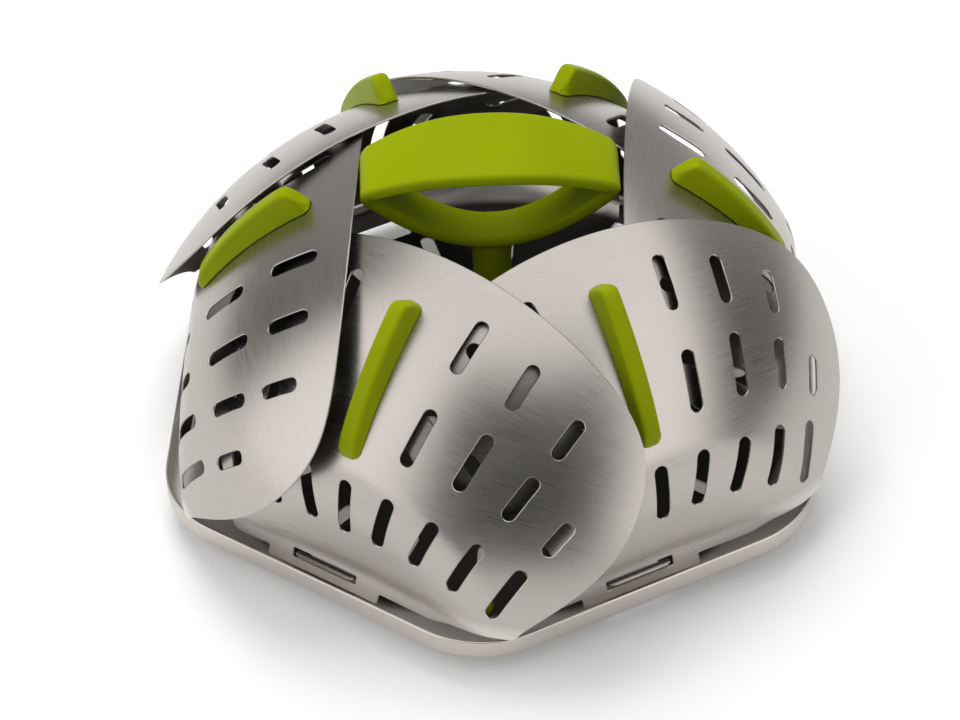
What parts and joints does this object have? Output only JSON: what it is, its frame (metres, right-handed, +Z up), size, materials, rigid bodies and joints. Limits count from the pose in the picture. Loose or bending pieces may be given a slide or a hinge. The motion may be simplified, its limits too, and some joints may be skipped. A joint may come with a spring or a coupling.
{
  "type": "folding steamer basket",
  "caption": "Folding steamer basket: hexagonal slotted steel tray on feet, hinged domed petals that overlap, each with a green grip, and a green loop handle on a stem.",
  "frame": {"origin": "on the table under the middle of the tray, at the centre of the ring of feet", "axes": "+Z up; +X square to the hinge of petal_1 and along the handle loop; +Y through a corner of the tray"},
  "size_m": [0.2095, 0.2168, 0.1104],
  "materials": {
    "sheet_steel": "brushed stainless sheet, satin",
    "green_nylon": "lime green moulded nylon, satin",
    "bright_steel": "turned stainless steel",
    "green_silicone": "lime green moulded silicone, matt"
  },
  "bodies": {
    "base": {"base_tray": "sheet_steel", "handle": "green_nylon", "handle_insert": "bright_steel", "handle_washer": "bright_steel", "handle_screw": "bright_steel", "foot_1": "green_silicone", "foot_2": "green_silicone", "foot_3": "green_silicone"},
    "leaf_1": {"petal_1": "sheet_steel", "petal_grip_1": "green_nylon"},
    "leaf_2": {"petal_2": "sheet_steel", "petal_grip_2": "green_nylon"},
    "leaf_3": {"petal_3": "sheet_steel", "petal_grip_3": "green_nylon"},
    "leaf_4": {"petal_4": "sheet_steel", "petal_grip_4": "green_nylon"},
    "leaf_5": {"petal_5": "sheet_steel", "petal_grip_5": "green_nylon"},
    "leaf_6": {"petal_6": "sheet_steel", "petal_grip_6": "green_nylon"}
  },
  "joints": [
    {"name": "petal_1_hinge", "type": "hinge", "parent": "base", "child": "leaf_1", "pos_m": [0.0928, 0, 0.0128], "axis": [0, 1, 0], "range_deg": [0, 54]},
    {"name": "petal_2_hinge", "type": "hinge", "parent": "base", "child": "leaf_2", "pos_m": [0.0464, 0.08037, 0.0128], "axis": [-0.866, 0.5, 0], "range_deg": [0, 54]},
    {"name": "petal_3_hinge", "type": "hinge", "parent": "base", "child": "leaf_3", "pos_m": [-0.0464, 0.08037, 0.0128], "axis": [-0.866, -0.5, 0], "range_deg": [0, 54]},
    {"name": "petal_4_hinge", "type": "hinge", "parent": "base", "child": "leaf_4", "pos_m": [-0.0928, 0, 0.0128], "axis": [0, -1, 0], "range_deg": [0, 54]},
    {"name": "petal_5_hinge", "type": "hinge", "parent": "base", "child": "leaf_5", "pos_m": [-0.0464, -0.08037, 0.0128], "axis": [0.866, -0.5, 0], "range_deg": [0, 54]},
    {"name": "petal_6_hinge", "type": "hinge", "parent": "base", "child": "leaf_6", "pos_m": [0.0464, -0.08037, 0.0128], "axis": [0.866, 0.5, 0], "range_deg": [0, 54]}
  ],
  "couplings": [
    {"joint": "petal_2_hinge", "follows": "petal_1_hinge", "ratio": 1},
    {"joint": "petal_3_hinge", "follows": "petal_1_hinge", "ratio": 1},
    {"joint": "petal_4_hinge", "follows": "petal_1_hinge", "ratio": 1},
    {"joint": "petal_5_hinge", "follows": "petal_1_hinge", "ratio": 1},
    {"joint": "petal_6_hinge", "follows": "petal_1_hinge", "ratio": 1}
  ]
}
